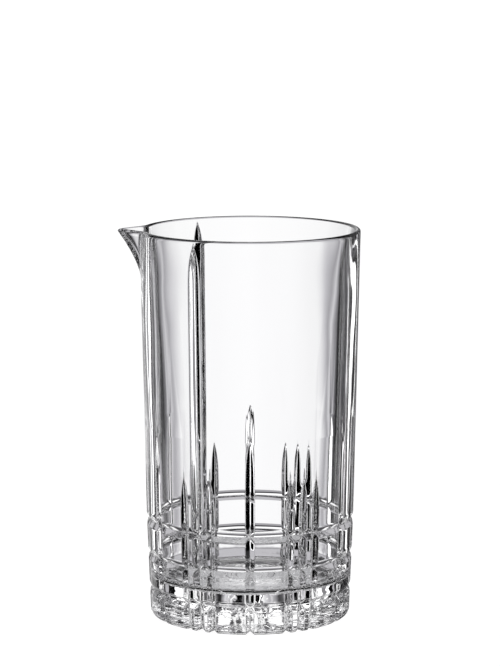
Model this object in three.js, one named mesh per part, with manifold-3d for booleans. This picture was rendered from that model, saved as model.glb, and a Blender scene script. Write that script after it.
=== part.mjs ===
// Cocktail mixing glass: one piece of clear pressed crystal, with a thick solid base, a tapered
// wall, a pouring beak drawn out of the rim, ring grooves round the base and upright mitre cuts.
// Millimetres, +Z up. The origin is the centre of the flat foot, and the beak points along -X.
// Angles round the glass are in degrees from -Y, growing towards +X.

import * as THREE from 'three';
import { mergeVertices } from 'three/addons/utils/BufferGeometryUtils.js';
import Module from 'manifold-3d';

// Blank: the plain pressed glass before its beak and cuts
const HEIGHT = 168;
const RIM_RADIUS = 47.3;
const WAIST_HEIGHT = 43;
const WAIST_RADIUS = 44.75;
const HEEL_RADIUS = 43.2;
const HEEL_HEIGHT = 2.7;
const FOOT_RADIUS = 40.5;
const BASE_THICKNESS = 16.7;
const FLOOR_RADIUS = 40.4;
const FLOOR_FILLET = 5.5;
const SHOULDER_DROP = 24;
const SHOULDER_WALL = 3.4;
const RIM_THICKNESS = 2.2;

// Pouring beak: its reach past the rim outside and inside, and how far it spreads and drops
const BEAK_ANGLE = -90;
const BEAK_REACH = 9.3;
const BEAK_CHANNEL_REACH = 8.5;
const BEAK_HALF_SPREAD = 13.6;
const BEAK_TIP_ROUNDING = 1.5;
const BEAK_DROP = 20;
const BEAK_CHANNEL_DROP = 16;
const BEAK_FLARE = 1.5;

// Ring grooves round the base and the foot of the wall
const RING_COUNT = 3;
const RING_FIRST_HEIGHT = 12.2;
const RING_PITCH = 15.2;
const RING_WIDTH = 4.6;
const RING_DEPTH = 1.4;

// Upright mitre cuts: every sector has one medium cut on its edge and three cuts in its middle
const SECTOR_COUNT = 6;
const SIDE_CUT_SPACING = 8;
const SHORT_TIP_HEIGHT = 66.9;
const MEDIUM_TIP_HEIGHT = 83.4;
const LONG_TIP_DROP = 2.4;
const SHORT_CUT = { width: 3.6, depth: 1.5 };
const MEDIUM_CUT = { width: 3.7, depth: 1.5 };
const LONG_CUT = { width: 4.8, depth: 1.9 };
const RUN_OUT = 30;
const RUN_OUT_POWER = 5;
const FOOT_FADE = 0.06;

// Fineness of the faceted surfaces, and how far a cutter stands clear of the glass
const WALL_SEGMENTS = 72;
const BEAK_ROWS = 6;
const ARC_STEPS = 3;
const RIM_STEPS = 4;
const RUN_OUT_STEPS = 5;
const CUTTER_CLEARANCE = 1.5;

const rimBase = HEIGHT - RIM_THICKNESS / 2;
const shoulderHeight = HEIGHT - SHOULDER_DROP;
const sector = 360 / SECTOR_COUNT;

// Outer radius of the wall at a height: straight from the heel to the waist, and on to the rim
function outerRadius(z) {
  return z < WAIST_HEIGHT
    ? THREE.MathUtils.mapLinear(z, HEEL_HEIGHT, WAIST_HEIGHT, HEEL_RADIUS, WAIST_RADIUS)
    : THREE.MathUtils.mapLinear(z, WAIST_HEIGHT, rimBase, WAIST_RADIUS, RIM_RADIUS);
}

// Points of an elliptic quarter or half turn about a centre, without its first point
function arcPoints(centreRadius, centreHeight, radiusAcross, radiusUp, from, to, steps) {
  const arc = new THREE.EllipseCurve(centreRadius, centreHeight, radiusAcross, radiusUp,
    THREE.MathUtils.degToRad(from), THREE.MathUtils.degToRad(to), to < from);
  return arc.getPoints(steps).slice(1);
}

// Outer wall from the waist up, with rows where the beak is drawn out of it
function outerWall() {
  const wall = [new THREE.Vector2(WAIST_RADIUS, WAIST_HEIGHT)];
  for (let row = BEAK_ROWS; row >= 0; row -= 1) {
    const z = rimBase - BEAK_DROP * row / BEAK_ROWS;
    wall.push(new THREE.Vector2(outerRadius(z), z));
  }
  return wall;
}

// Inner wall: it thickens from the rim to the shoulder in a curve and runs straight to the floor
function innerWall() {
  const shoulder = new THREE.Vector2(outerRadius(shoulderHeight) - SHOULDER_WALL, shoulderHeight);
  const floorEdge = new THREE.Vector2(FLOOR_RADIUS, BASE_THICKNESS + FLOOR_FILLET);
  const lean = (shoulder.x - floorEdge.x) / (shoulder.y - floorEdge.y);
  const bendHeight = (shoulderHeight + rimBase) / 2;
  const bend = new THREE.Vector2(shoulder.x + lean * (bendHeight - shoulderHeight), bendHeight);
  const rimEdge = new THREE.Vector2(RIM_RADIUS - RIM_THICKNESS, rimBase);
  const curve = new THREE.QuadraticBezierCurve(rimEdge, bend, shoulder);
  const fillet = arcPoints(FLOOR_RADIUS - FLOOR_FILLET, BASE_THICKNESS + FLOOR_FILLET,
    FLOOR_FILLET, FLOOR_FILLET, 0, -90, ARC_STEPS);
  return [...curve.getPoints(BEAK_ROWS).slice(1), floorEdge, ...fillet];
}

// Half section of the blank from the middle of the foot, up the outside and down the inside
function blankProfile() {
  const heel = arcPoints(FOOT_RADIUS, HEEL_HEIGHT, HEEL_RADIUS - FOOT_RADIUS, HEEL_HEIGHT,
    -90, 0, ARC_STEPS);
  const rim = arcPoints(RIM_RADIUS - RIM_THICKNESS / 2, rimBase, RIM_THICKNESS / 2, RIM_THICKNESS / 2,
    0, 180, RIM_STEPS);
  return [
    new THREE.Vector2(0, 0),
    new THREE.Vector2(FOOT_RADIUS, 0),
    ...heel,
    ...outerWall(),
    ...rim,
    ...innerWall(),
    new THREE.Vector2(0, BASE_THICKNESS),
  ];
}

// How far the beak draws the glass out at an angle from its middle and a drop below the rim
function beakPull(angle, drop, reach, fullDrop) {
  const rounded = Math.hypot(angle, BEAK_TIP_ROUNDING) - BEAK_TIP_ROUNDING;
  const share = Math.max(0, 1 - rounded / BEAK_HALF_SPREAD - drop / fullDrop);
  return reach * share ** BEAK_FLARE;
}

// Draws the beak out of the turned blank: the outside by its reach, the inside by the channel's
function drawBeak(geometry) {
  const position = geometry.getAttribute('position');
  const beakAxis = THREE.MathUtils.degToRad(BEAK_ANGLE - 90);
  const innerEdge = RIM_RADIUS - RIM_THICKNESS;
  for (let i = 0; i < position.count; i += 1) {
    const x = position.getX(i);
    const y = position.getY(i);
    const z = position.getZ(i);
    const radius = Math.hypot(x, y);
    const turn = Math.atan2(y, x) - beakAxis;
    const angle = THREE.MathUtils.radToDeg(Math.atan2(Math.sin(turn), Math.cos(turn)));
    const drop = Math.max(0, rimBase - z);
    const outside = beakPull(angle, drop, BEAK_REACH, BEAK_DROP);
    const inside = beakPull(angle, drop, BEAK_CHANNEL_REACH, BEAK_CHANNEL_DROP);
    const wallMiddle = outerRadius(z) - RIM_THICKNESS / 2;
    const onRim = THREE.MathUtils.clamp((radius - innerEdge) / RIM_THICKNESS, 0, 1);
    const outerShare = z >= rimBase ? onRim : Number(radius > wallMiddle);
    const pull = inside + (outside - inside) * outerShare;
    const drawn = radius > 0 ? (radius + pull) / radius : 1;
    position.setXY(i, x * drawn, y * drawn);
  }
  return geometry;
}

// Turned body about the upright axis from a half section
function turned(profile) {
  return new THREE.LatheGeometry(profile, WALL_SEGMENTS).rotateX(Math.PI / 2);
}

// V-shaped ring that cuts one groove round the wall
function ringCutter(height) {
  const crease = new THREE.Vector2(outerRadius(height) - RING_DEPTH, height);
  const reach = RING_DEPTH + CUTTER_CLEARANCE;
  const halfOpening = RING_WIDTH / 2 * reach / RING_DEPTH;
  return turned([
    crease,
    new THREE.Vector2(crease.x + reach, height - halfOpening),
    new THREE.Vector2(crease.x + reach, height + halfOpening),
    crease.clone(),
  ]);
}

// Crease of a mitre cut in the upright half plane over +X: it follows the wall at full depth, then
// runs out through the surface, ever steeper. Its stations stand closer together near the end.
class MitreCrease extends THREE.Curve {
  constructor(cut, tipHeight) {
    super();
    this.depth = cut.depth;
    this.fullHeight = tipHeight - RUN_OUT;
    const overrun = RUN_OUT * (1 + CUTTER_CLEARANCE / cut.depth) ** (1 / RUN_OUT_POWER);
    const straight = [-CUTTER_CLEARANCE, WAIST_HEIGHT, this.fullHeight];
    this.stations = straight.filter((z) => z <= this.fullHeight);
    for (let i = 1; i <= RUN_OUT_STEPS; i += 1) {
      const share = 1 - (1 - i / RUN_OUT_STEPS) ** 2;
      this.stations.push(this.fullHeight + overrun * share);
    }
  }

  get steps() {
    return this.stations.length - 1;
  }

  getPoint(t) {
    const place = THREE.MathUtils.clamp(t, 0, 1) * this.steps;
    const below = Math.min(Math.floor(place), this.steps - 1);
    const z = THREE.MathUtils.lerp(this.stations[below], this.stations[below + 1], place - below);
    const run = Math.max(0, z - this.fullHeight) / RUN_OUT;
    return new THREE.Vector3(outerRadius(z) - this.depth * (1 - run ** RUN_OUT_POWER), 0, z);
  }

  getUtoTmapping(u) {
    return u;
  }
}

// V-shaped wedge that cuts one stretch of a mitre along its crease
function mitreWedge(cut, crease, steps, angle) {
  const reach = cut.depth + CUTTER_CLEARANCE;
  const halfOpening = cut.width / 2 * reach / cut.depth;
  const section = new THREE.Shape([
    new THREE.Vector2(0, 0),
    new THREE.Vector2(halfOpening, reach),
    new THREE.Vector2(-halfOpening, reach),
  ]);
  const wedge = new THREE.ExtrudeGeometry(section, { steps, extrudePath: crease });
  return wedge.rotateZ(THREE.MathUtils.degToRad(angle - 90));
}

// Cutters of one mitre: one up the wall, and one under the foot that runs out towards the middle
function mitreCutters(cut, tipHeight, angle) {
  const wallCrease = new MitreCrease(cut, tipHeight);
  const footRunOut = cut.depth / FOOT_FADE;
  const overhang = HEEL_RADIUS + CUTTER_CLEARANCE - FOOT_RADIUS;
  const footCrease = new THREE.LineCurve3(
    new THREE.Vector3(FOOT_RADIUS - footRunOut, 0, 0),
    new THREE.Vector3(FOOT_RADIUS + overhang, 0, cut.depth + FOOT_FADE * overhang),
  );
  return [mitreWedge(cut, wallCrease, wallCrease.steps, angle), mitreWedge(cut, footCrease, 1, angle)];
}

// Every mitre cut round the glass: side cuts are short, and in every other sector the middle is long
function allMitreCutters() {
  const cutters = [];
  for (let i = 0; i < SECTOR_COUNT; i += 1) {
    const middle = sector * (i + 0.5);
    const middleIsLong = i % 2 === 1;
    cutters.push(...mitreCutters(MEDIUM_CUT, MEDIUM_TIP_HEIGHT, sector * i));
    cutters.push(...mitreCutters(SHORT_CUT, SHORT_TIP_HEIGHT, middle - SIDE_CUT_SPACING));
    cutters.push(...mitreCutters(SHORT_CUT, SHORT_TIP_HEIGHT, middle + SIDE_CUT_SPACING));
    cutters.push(...(middleIsLong
      ? mitreCutters(LONG_CUT, HEIGHT - LONG_TIP_DROP, middle)
      : mitreCutters(SHORT_CUT, SHORT_TIP_HEIGHT, middle)));
  }
  return cutters;
}

const wasm = await Module();
wasm.setup();

// A closed geometry as a solid that can be cut
function solidOf(geometry) {
  const bare = geometry.clone();
  bare.deleteAttribute('normal');
  bare.deleteAttribute('uv');
  const merged = mergeVertices(bare);
  return new wasm.Manifold(new wasm.Mesh({
    numProp: 3,
    vertProperties: new Float32Array(merged.getAttribute('position').array),
    triVerts: new Uint32Array(merged.getIndex().array),
  }));
}

// A cut solid as a geometry again
function geometryOf(solid) {
  const mesh = solid.getMesh();
  const geometry = new THREE.BufferGeometry();
  geometry.setAttribute('position', new THREE.BufferAttribute(mesh.vertProperties, 3));
  geometry.setIndex(new THREE.BufferAttribute(mesh.triVerts, 1));
  geometry.computeVertexNormals();
  return geometry;
}

// The glass: the blank with its beak, less the ring grooves and the mitre cuts
function mixingGlass() {
  const cutters = allMitreCutters();
  for (let i = 0; i < RING_COUNT; i += 1) {
    cutters.push(ringCutter(RING_FIRST_HEIGHT + RING_PITCH * i));
  }
  let glass = solidOf(drawBeak(turned(blankProfile())));
  for (const cutter of cutters) {
    glass = glass.subtract(solidOf(cutter));
  }
  const crystal = new THREE.MeshStandardMaterial({
    color: 0xf4f6f7,
    roughness: 0.03,
    metalness: 0,
    transparent: true,
    opacity: 0.35,
  });
  const mesh = new THREE.Mesh(geometryOf(glass), crystal);
  mesh.name = 'mixing_glass';
  return mesh;
}

const group = new THREE.Group();
group.add(mixingGlass());

export default group;
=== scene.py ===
import math
from collections import namedtuple
from functools import cache

import bmesh
import bpy
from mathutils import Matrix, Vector


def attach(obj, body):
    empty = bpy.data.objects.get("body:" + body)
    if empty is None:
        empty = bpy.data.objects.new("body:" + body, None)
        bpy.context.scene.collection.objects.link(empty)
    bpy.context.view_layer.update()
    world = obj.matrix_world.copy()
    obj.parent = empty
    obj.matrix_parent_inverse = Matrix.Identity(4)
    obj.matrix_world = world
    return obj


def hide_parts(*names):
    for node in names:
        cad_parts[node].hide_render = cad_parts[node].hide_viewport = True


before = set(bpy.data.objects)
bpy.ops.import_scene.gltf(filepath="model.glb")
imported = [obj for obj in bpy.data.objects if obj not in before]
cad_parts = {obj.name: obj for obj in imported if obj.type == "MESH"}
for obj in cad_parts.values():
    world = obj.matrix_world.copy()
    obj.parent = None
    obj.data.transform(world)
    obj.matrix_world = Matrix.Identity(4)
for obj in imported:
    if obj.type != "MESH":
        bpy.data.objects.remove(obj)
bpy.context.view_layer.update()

# Camera: a long lens a little above the rim, looking down at the glass.
# The beak points to the left, and a medium cut in the middle of the front faces the lens.
MM = 0.001
photo_long_side = 666
focal_pixels = 2992
sensor_width = 36
camera_distance = 1270 * MM
camera_height = 323 * MM
camera_pitch = math.radians(8.963)

camera_data = bpy.data.cameras.new("camera")
camera_data.sensor_width = sensor_width
camera_data.lens = focal_pixels * sensor_width / photo_long_side
camera_data.clip_start = 10 * MM
camera_data.clip_end = 100
camera = bpy.data.objects.new("camera", camera_data)
camera.location = (0, -camera_distance, camera_height)
camera.rotation_euler = (math.pi / 2 - camera_pitch, 0, 0)
bpy.context.scene.collection.objects.link(camera)
bpy.context.scene.camera = camera

# The blank: one piece of clear crystal, pressed in a mould, with a solid base under a tapered wall.
# The rim is fire-polished round, and inside a small fillet leads from the wall to the flat floor.
# Its outline goes from the middle of the foot up the outside and down the inside, and is spun round.
height = 168 * MM
rim_radius = 47.3 * MM
rim_thickness = 2.2 * MM
rim_base = height - rim_thickness / 2
waist_height = 43 * MM
waist_radius = 44.75 * MM
heel_radius = 43.2 * MM
heel_height = 2.7 * MM
foot_radius = 40.5 * MM
base_thickness = 16.7 * MM
floor_radius = 40.4 * MM
floor_fillet = 5.5 * MM
shoulder_drop = 24 * MM
shoulder_wall = 3.4 * MM
rim_rows = 10
shoulder_rows = 16
inner_wall_rows = 6
fillet_rows = 8
floor_rows = 3


def outer_radius(z):
    low, high = (heel_height, waist_height) if z < waist_height else (waist_height, rim_base)
    start, end = (heel_radius, waist_radius) if z < waist_height else (waist_radius, rim_radius)
    return start + (end - start) * (z - low) / (high - low)


def steps_between(start, end, steps):
    return [start + (end - start) * i / steps for i in range(1, steps + 1)]


def arc(centre, radius_across, radius_up, start, end, steps):
    angles = [math.radians(angle) for angle in steps_between(start, end, steps)]
    return [(centre[0] + radius_across * math.cos(a), centre[1] + radius_up * math.sin(a)) for a in angles]


def bend(start, middle, end, steps):
    points = []
    for t in steps_between(0, 1, steps):
        weights = ((1 - t) ** 2, 2 * t * (1 - t), t ** 2)
        across, up = [sum(w * p[i] for w, p in zip(weights, (start, middle, end))) for i in range(2)]
        points.append((across, up))
    return points


def inside_outline():
    rim_round = rim_thickness / 2
    points = arc((rim_radius - rim_round, rim_base), rim_round, rim_round, 0, 180, rim_rows)
    shoulder_height = height - shoulder_drop
    shoulder = (outer_radius(shoulder_height) - shoulder_wall, shoulder_height)
    floor_edge = (floor_radius, base_thickness + floor_fillet)
    lean = (shoulder[0] - floor_edge[0]) / (shoulder[1] - floor_edge[1])
    bend_height = (shoulder_height + rim_base) / 2
    bend_middle = (shoulder[0] + lean * (bend_height - shoulder_height), bend_height)
    points += bend(points[-1], bend_middle, shoulder, shoulder_rows)
    wall_across = steps_between(shoulder[0], floor_edge[0], inner_wall_rows)
    wall_up = steps_between(shoulder[1], floor_edge[1], inner_wall_rows)
    points += list(zip(wall_across, wall_up))
    fillet_centre = (floor_radius - floor_fillet, base_thickness + floor_fillet)
    points += arc(fillet_centre, floor_fillet, floor_fillet, 0, -90, fillet_rows)
    points += [(across, base_thickness) for across in steps_between(points[-1][0], 0, floor_rows)]
    return points


# Ring grooves and mitre cuts: the mould presses V-shaped grooves into the outside, polished crisp.
# Three rings go round the solid base. Upright cuts rise from the foot through the rings, one on the
# edge of every sector and three in its middle, and run out in slender points.
ring_count = 3
lowest_ring = 12.2 * MM
ring_spacing = 15.2 * MM
ring_heights = [lowest_ring + ring_spacing * i for i in range(ring_count)]
ring_half_width = 2.6 * MM
ring_depth = 1.4 * MM
ring_hollow = 1.6
sector_count = 6
side_cut_spacing = 8
Cut = namedtuple("Cut", "tip half_width depth")
short_cut = Cut(tip=66.9 * MM, half_width=1.8 * MM, depth=1.5 * MM)
medium_cut = Cut(tip=83.4 * MM, half_width=1.85 * MM, depth=1.5 * MM)
long_cut = Cut(tip=165.6 * MM, half_width=2.4 * MM, depth=1.8 * MM)
run_out = 30 * MM
run_out_power = 5
crease_round = 0.08 * MM
edge_round = 0.06 * MM
foot_fade = 0.06
least_half_width = 0.4 * MM
even_height = 50 * MM
foot_rings = [ring * MM for ring in (0, 9, 15, 21, 27, 32, 36, 38.5)]
groove_stations = [-1.25, -1.08, -0.95, -0.8, -0.5, -0.2, -0.07, 0, 0.07, 0.2, 0.5, 0.8, 0.95, 1.08, 1.25]
wide_land_columns = 8
narrow_land_columns = 3
heel_rows = 6
land_rows = 4
tip_rows = 12
plain_wall_rows = 8
beak_rows = 24

cuts = []
for i in range(sector_count):
    sector = 360 / sector_count
    middle = sector * (i + 0.5)
    middle_cut = long_cut if i % 2 == 1 else short_cut
    cuts.append((sector * i, medium_cut))
    cuts.append((middle - side_cut_spacing, short_cut))
    cuts.append((middle, middle_cut))
    cuts.append((middle + side_cut_spacing, short_cut))

columns = []
for i, (angle, cut) in enumerate(cuts):
    following = (i + 1) % len(cuts)
    gap = (cuts[following][0] - angle) % 360
    land_columns = narrow_land_columns if gap <= side_cut_spacing else wide_land_columns
    land_shares = steps_between(0, 1, land_columns + 1)[:-1]
    columns += [(i, station, None, 0) for station in groove_stations]
    columns += [(i, groove_stations[-1], following, share) for share in land_shares]

long_cuts = [i for i, (angle, cut) in enumerate(cuts) if cut is long_cut]
long_ends = [columns.index((i, groove_stations[-1], None, 0)) for i in long_cuts]
even_steps = len(columns) // len(long_cuts) - len(groove_stations) + 1
upper_columns = columns[:]
for i, start in enumerate(long_ends):
    following = long_cuts[(i + 1) % len(long_cuts)]
    for step in range(1, even_steps):
        place = (start + step) % len(columns)
        upper_columns[place] = (long_cuts[i], groove_stations[-1], following, step / even_steps)


@cache
def crease_depth(cut, z):
    run = max(0, z - cut.tip + run_out) / run_out
    return cut.depth * (1 - run ** run_out_power)


@cache
def side_angle(index, station, z):
    angle, cut = cuts[index]
    half_width = max(least_half_width, cut.half_width * crease_depth(cut, z) / cut.depth)
    return angle + math.degrees(station * half_width / outer_radius(z))


def column_angle(column, z):
    index, station, following, share = column
    angle = side_angle(index, station, z)
    if following is None:
        return angle
    land = (side_angle(following, groove_stations[0], z) - angle) % 360
    return angle + land * share


def evened_angle(column, upper, z, evenness):
    angle = column_angle(column, z)
    shift = (column_angle(upper, z) - angle + 180) % 360 - 180
    return angle + shift * evenness


def rounded(distance, radius):
    return math.hypot(distance, radius) - radius


def deeper(first, second):
    return (first + second + math.hypot(first - second, edge_round)) / 2


@cache
def ring_groove(z):
    nearest = min(abs(z - ring_height) for ring_height in ring_heights)
    share = max(0, 1 - rounded(nearest, crease_round) / ring_half_width)
    return ring_depth * share ** ring_hollow


def groove_depth(column, angle, radius, z):
    depth = ring_groove(z)
    for index in {column[0], column[0] if column[2] is None else column[2]}:
        centre, cut = cuts[index]
        turn = (angle - centre + 180) % 360 - 180
        off_crease = math.radians(turn) * radius
        slope = cut.depth / cut.half_width
        crease = crease_depth(cut, z) - foot_fade * max(0, foot_radius - radius)
        depth = deeper(depth, crease - slope * rounded(off_crease, crease_round))
    return max(0, depth)


def run_out_rows(start, tip):
    return [tip - (tip - start) * (1 - share) ** 2 for share in steps_between(0, 1, tip_rows)]


def outside_outline(beak_root):
    points = [(ring, 0) for ring in foot_rings]
    points += [(foot_radius, 0)]
    heel_centre = (foot_radius, heel_height)
    points += arc(heel_centre, heel_radius - foot_radius, heel_height, -90, 0, heel_rows)
    heights = []
    for ring_height in ring_heights:
        land_start = heights[-1] if heights else heel_height
        ring_rows = [ring_height + station * ring_half_width for station in groove_stations]
        heights += steps_between(land_start, ring_rows[0], land_rows)[:-1] + ring_rows
    heights += run_out_rows(heights[-1], short_cut.tip)
    heights += run_out_rows(heights[-1], medium_cut.tip)
    heights += steps_between(heights[-1], beak_root, plain_wall_rows)
    heights += steps_between(heights[-1], rim_base, beak_rows)
    return points + [(outer_radius(z), z) for z in heights]


# Pouring beak: the rim and the wall under it are pulled out to one side in a keel while still soft.
# Its channel inside is a little shorter and shallower, so the lip is thick at the tip.
beak_reach = 9.3 * MM
beak_channel_reach = beak_reach - 0.8 * MM
beak_drop = 20 * MM
beak_channel_drop = 16 * MM
beak_half_spread = 13.6
beak_tip_rounding = 1.5
beak_flare = 1.5
beak_angle = -90


def beak_pull(angle, drop, reach, full_drop):
    share = max(0, 1 - rounded(angle, beak_tip_rounding) / beak_half_spread - drop / full_drop)
    return reach * share ** beak_flare


def drawn_out(angle, radius, z, is_outside):
    turn = (angle - beak_angle + 180) % 360 - 180
    drop = max(0, rim_base - z)
    outside = beak_pull(turn, drop, beak_reach, beak_drop)
    inside = beak_pull(turn, drop, beak_channel_reach, beak_channel_drop)
    on_rim = min(1, max(0, (radius - rim_radius + rim_thickness) / rim_thickness))
    outer_share = on_rim if z >= rim_base else float(is_outside)
    return inside + (outside - inside) * outer_share


# The pressed glass: one closed skin of crystal, with no joint between base, wall, rim and beak.
# The outline is spun through one sector and that sector through the rest of the way round.
# Each point then moves in by the depth of its groove and out into the beak.
weld_distance = 0.0001 * MM
on_axis = 0.01 * MM

outside_rows = outside_outline(rim_base - beak_drop)
outline = outside_rows + inside_outline()
mesh = bmesh.new()
facing = mesh.verts.layers.float_vector.new("facing")
corners = []
for i, (across, up) in enumerate(outline):
    corner = mesh.verts.new((across, 0, up))
    if 0 < i < len(outside_rows):
        before, after = Vector(outline[i - 1]), Vector(outline[i + 1])
        along = (after - before).normalized()
        corner[facing] = (along.y, 0, -along.x)
    corners.append(corner)
for first, second in zip(corners, corners[1:]):
    mesh.edges.new((first, second))
sector_columns = len(columns) // sector_count
bmesh.ops.spin(
    mesh, geom=mesh.verts[:] + mesh.edges[:], axis=(0, 0, 1),
    angle=math.tau / sector_count, steps=sector_columns,
)
bmesh.ops.spin(
    mesh, geom=mesh.verts[:] + mesh.edges[:] + mesh.faces[:], axis=(0, 0, 1),
    angle=math.tau * (1 - 1 / sector_count), steps=sector_count - 1, use_duplicate=True,
)
bmesh.ops.remove_doubles(mesh, verts=mesh.verts[:], dist=weld_distance)
for corner in mesh.verts:
    radius = corner.co.xy.length
    if radius < on_axis:
        continue
    z = corner.co.z
    turned = math.degrees(math.atan2(corner.co.y, corner.co.x)) % 360
    place = round(turned * len(columns) / 360) % len(columns)
    is_outside = corner[facing].length > 0
    above = (z - medium_cut.tip) / even_height if is_outside else 1
    column = upper_columns[place] if above > 0 else columns[place]
    evenness = min(1, max(0, above))
    angle = evened_angle(columns[place], upper_columns[place], max(z, heel_height), evenness)
    depth = groove_depth(column, angle, radius, z) if is_outside else 0
    radius += drawn_out(angle, radius, z, is_outside) - depth * corner[facing].x
    heading = math.radians(angle)
    corner.co = (radius * math.sin(heading), -radius * math.cos(heading), z - depth * corner[facing].z)
mesh.verts.layers.float_vector.remove(facing)
bmesh.ops.recalc_face_normals(mesh, faces=mesh.faces[:])


def put_down(mesh, name):
    data = bpy.data.meshes.new(name)
    mesh.to_mesh(data)
    mesh.free()
    piece = bpy.data.objects.new(name, data)
    bpy.context.scene.collection.objects.link(piece)
    return piece


glass = put_down(mesh, "glass")
glass.data.shade_smooth()
glass.modifiers.new("polish", "WEIGHTED_NORMAL")

# Crystal: clear, colourless glass, fire-polished after pressing, so it is smooth all over.
# Pressing leaves long, faint, upright waves in the wall and small ripples in the solid base.
# Its mirror shine at straight view is turned off, because it veils the dark lines in the cuts.
white =(1, 1, 1, 1)
black = (0, 0, 0, 1)
crystal_ior = 1.52
crystal_tint = (0.99, 0.99, 0.995, 1)
wave_scale = 60
wave_height = 0.35
wave_stretch = (1, 1, 0.3)
ripple_scale = 240
ripple_height = 0.13
ripple_top = 40 * MM
ripple_stops = [(0.5, white), (0.7, black)]


class Shade:
    def __init__(self, tree, socket=None):
        self.tree = tree
        self.socket = socket

    def node(self, kind, settings, inputs, output=0):
        made = self.tree.nodes.new(kind)
        for name, value in settings.items():
            if name == "stops":
                for i, (place, tone) in enumerate(value):
                    stop = made.color_ramp.elements[i] if i < 2 else made.color_ramp.elements.new(place)
                    stop.position = place
                    stop.color = tone
            else:
                setattr(made, name, value)
        for name, value in inputs.items():
            if isinstance(value, Shade):
                value.feed(made.inputs[name])
            else:
                made.inputs[name].default_value = value
        return Shade(self.tree, made.outputs[output])

    def feed(self, target):
        self.tree.links.new(self.socket, target)

    def math(self, operation, first, second=0):
        return self.node("ShaderNodeMath", {"operation": operation}, {0: first, 1: second})

    def __add__(self, other):
        return self.math("ADD", self, other)

    def __radd__(self, other):
        return self.math("ADD", other, self)

    def __sub__(self, other):
        return self.math("SUBTRACT", self, other)

    def __rsub__(self, other):
        return self.math("SUBTRACT", other, self)

    def __mul__(self, other):
        return self.math("MULTIPLY", self, other)

    def __rmul__(self, other):
        return self.math("MULTIPLY", other, self)


crystal = bpy.data.materials.new("crystal")
crystal.use_nodes = True
crystal_shader = crystal.node_tree.nodes["Principled BSDF"]
crystal_shader.inputs["Base Color"].default_value = crystal_tint
crystal_shader.inputs["Transmission Weight"].default_value = 1
crystal_shader.inputs["IOR"].default_value = crystal_ior
crystal_shader.inputs["Roughness"].default_value = 0
crystal_shader.inputs["Specular Tint"].default_value = black

skin = Shade(crystal.node_tree)
on_glass = skin.node("ShaderNodeTexCoord", {}, {}, "Object")
above_foot = skin.node("ShaderNodeSeparateXYZ", {}, {0: on_glass}, "Z")
in_base = skin.node("ShaderNodeValToRGB", {"stops": ripple_stops}, {"Fac": above_foot * (1 / ripple_top)})
drawn_up = skin.node("ShaderNodeMapping", {}, {"Vector": on_glass, "Scale": wave_stretch})
wave_inputs = {"Vector": drawn_up, "Scale": wave_scale, "Detail": 0}
waves = skin.node("ShaderNodeTexNoise", {}, wave_inputs, "Fac")
ripple_inputs = {"Vector": on_glass, "Scale": ripple_scale, "Detail": 1}
ripples = skin.node("ShaderNodeTexNoise", {}, ripple_inputs, "Fac")
relief = waves * wave_height + in_base * ripples * ripple_height
unevenness = skin.node("ShaderNodeBump", {}, {"Height": relief, "Strength": 1, "Distance": MM})
unevenness.feed(crystal_shader.inputs["Normal"])
glass.data.materials.append(crystal)

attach(glass, "root")
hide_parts("mixing_glass")

# Floor: plain white paper that runs on as the backdrop. It glows evenly, so no shadow shows on it.
# Rays that come through the glass or off it pass the paper by and meet the light tent instead.
floor_gap = 0.05 * MM
floor_size = 10


def lit_paper(name):
    paper = bpy.data.materials.new(name)
    paper.use_nodes = True
    paper_shader = paper.node_tree.nodes["Principled BSDF"]
    paper_shader.inputs["Base Color"].default_value = black
    paper_shader.inputs["Emission Color"].default_value = white
    paper_shader.inputs["Emission Strength"].default_value = 1
    return paper


floor_mesh = bmesh.new()
bmesh.ops.create_grid(floor_mesh, x_segments=1, y_segments=1, size=floor_size)
bmesh.ops.translate(floor_mesh, verts=floor_mesh.verts[:], vec=(0, 0, -floor_gap))
floor = put_down(floor_mesh, "floor")
floor.visible_transmission = False
floor.visible_glossy = False
floor.visible_diffuse = False
floor.data.materials.append(lit_paper("paper"))

# Painted shade under the foot: a round patch of paper, seen only by way of the glass, whose glow is
# painted grey in the middle and almost black towards the edge of the foot. It lies just above the floor.
shade_overlap = 2 * MM
shade_segments = 96
painted_shade_stops = [(0.78, (0.4, 0.4, 0.41, 1)), (0.86, (0.01, 0.01, 0.01, 1))]

shade_mesh = bmesh.new()
shade_radius = foot_radius + shade_overlap
bmesh.ops.create_circle(shade_mesh, cap_ends=True, segments=shade_segments, radius=shade_radius)
bmesh.ops.translate(shade_mesh, verts=shade_mesh.verts[:], vec=(0, 0, -floor_gap / 2))
shade = put_down(shade_mesh, "shade")
shade.visible_camera = False
shade.visible_shadow = False
painted_shade_paper = lit_paper("painted_shade_paper")
patch = Shade(painted_shade_paper.node_tree)
on_paper = patch.node("ShaderNodeTexCoord", {}, {}, "Object")
away = patch.node("ShaderNodeVectorMath", {"operation": "LENGTH"}, {0: on_paper}, "Value")
# The patch's glow is painted shade: grey in the middle, almost black towards the edge of the foot.
painted_shade_tone = patch.node("ShaderNodeValToRGB", {"stops": painted_shade_stops}, {"Fac": away * (1 / foot_radius)})
painted_shade_tone.feed(painted_shade_paper.node_tree.nodes["Principled BSDF"].inputs["Emission Color"])
shade.data.materials.append(painted_shade_paper)

# Light tent: black cloth hung with white panels, one every eighth of the way round the glass, of which
# the two next to the one behind are narrow and grey. Strips between those three draw the bright lines
# in edges and cuts. A pale table shows from below, and a pleated canopy lights the base from above.
panel_spacing = 45
strips_reach = 65
pleat_width = 5
room_glow = 0.12
edge_glow = 0.7
edge_glow_reach = 45
tint_stops = [(0.5, (0.97, 0.955, 1, 1)), (0.9, white)]

world = bpy.data.worlds.new("tent")
world.use_nodes = True
tent = Shade(world.node_tree)


def tones(degrees, stops):
    first = stops[0][0]
    span = stops[-1][0] - first
    ramp = [((place - first) / span, (tone, tone, tone, 1)) for place, tone in stops]
    return tent.node("ShaderNodeValToRGB", {"stops": ramp}, {"Fac": (degrees - first) * (1 / span)})


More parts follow.
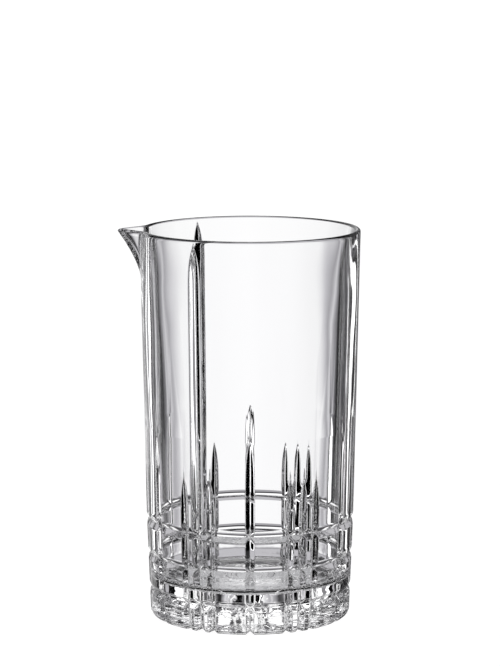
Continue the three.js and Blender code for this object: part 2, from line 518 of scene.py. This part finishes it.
way = tent.node("ShaderNodeTexCoord", {}, {}, "Generated")
way_x, way_y, way_z = [tent.node("ShaderNodeSeparateXYZ", {}, {0: way}, axis) for axis in range(3)]
azimuth = tent.math("ARCTAN2", way_x, way_y) * math.degrees(1)
elevation = tent.math("ARCSINE", way_z) * math.degrees(1)
aside = tent.math("ABSOLUTE", azimuth)
is_left = tent.math("LESS_THAN", azimuth, 0)
is_behind = tent.math("LESS_THAN", aside, strips_reach)

left_strips = tones(aside, [
    (0, 1), (4.5, 0.95), (8, 0.45), (8.9, 0.7), (9.6, 0.42), (11.2, 0.06), (13, 0.1), (16.5, 0.8),
    (17.6, 0.2), (19, 0), (26.5, 0), (27.5, 0.2), (30, 0.2), (30.7, 1.5), (33.6, 1.5), (34.3, 0.25),
    (37, 0.25), (37.6, 2), (40, 2), (40.4, 0), (43.5, 0), (44, 0.5), (46, 0.5), (47, 0),
])
right_strips = tones(aside, [
    (0, 1), (4.5, 0.93), (7.6, 0.4), (8.7, 0.72), (9.5, 0.43), (11.2, 0.02), (12.5, 0.02), (14, 0.22),
    (16.6, 0.08), (20.2, 0.12), (20.7, 2.2), (23.2, 2.2), (23.8, 0), (30.9, 0), (31.6, 2), (36.6, 2),
    (37.2, 0), (43.5, 0), (44, 0.5), (46, 0.5), (47, 0),
])
off_panel = tent.math("PINGPONG", aside, panel_spacing / 2)
panels = tones(off_panel, [(0, 1), (4.5, 0.95), (8, 0.35), (10, 0), (panel_spacing / 2, 0)])
strips = is_left * left_strips + (1 - is_left) * right_strips
cloth = is_behind * strips + (1 - is_behind) * panels
cloth_share = tones(elevation, [
    (-90, 0), (-27, 0.05), (-22, 0.7), (-19, 1), (-4, 1), (-1, 0.4), (4, 0.4), (5, 0.05), (8, 0), (90, 0),
])

table_tone = tones(elevation, [(-90, 0), (-48, 0), (-44, 0.55), (-27, 0.55), (-23, 0), (90, 0)])
table_share = tones(azimuth, [(-180, 1), (-42, 1), (-38, 0.05), (-6, 0.05), (-2, 1), (180, 1)])
table = table_tone * table_share

canopy_tone = tones(elevation, [(-90, 0), (7, 0), (8, 0.65), (22, 0.65), (23, 1.05), (90, 1.05)])
canopy_share = tones(aside, [(0, 1), (45, 1), (52, 0.12), (180, 0.12)])
off_pleat = tent.math("PINGPONG", aside, pleat_width)
pleats = tones(off_pleat, [(0, 1.8), (2.6, 1.8), (3.2, 0.15), (pleat_width, 0.15)])
canopy = canopy_tone * canopy_share * pleats

brightness = tent.math("MAXIMUM", cloth * cloth_share, tent.math("MAXIMUM", table, canopy))

# The camera sees plain white past the glass. In place of the strips, the polished skin mirrors a dim
# glow that is brighter behind on the left.
camera_ray = tent.node("ShaderNodeLightPath", {}, {}, "Is Camera Ray")
mirror_ray = tent.node("ShaderNodeLightPath", {}, {}, "Is Reflection Ray")
mirrored = room_glow + edge_glow * is_left * tent.math("LESS_THAN", aside, edge_glow_reach)
shown = brightness * (1 - mirror_ray) + mirrored * mirror_ray
strength = tent.math("MAXIMUM", shown, camera_ray)
tint = tent.node("ShaderNodeValToRGB", {"stops": tint_stops}, {"Fac": strength})
background = world.node_tree.nodes["Background"]
tint.feed(background.inputs["Color"])
strength.feed(background.inputs["Strength"])
bpy.context.scene.world = world

# Picture: no tone curve, and enough bounces for a ray to cross the cut base many times.
bpy.context.scene.view_settings.view_transform = "Standard"
bpy.context.scene.cycles.max_bounces = 32
bpy.context.scene.cycles.transmission_bounces = 32
bpy.context.scene.cycles.glossy_bounces = 16
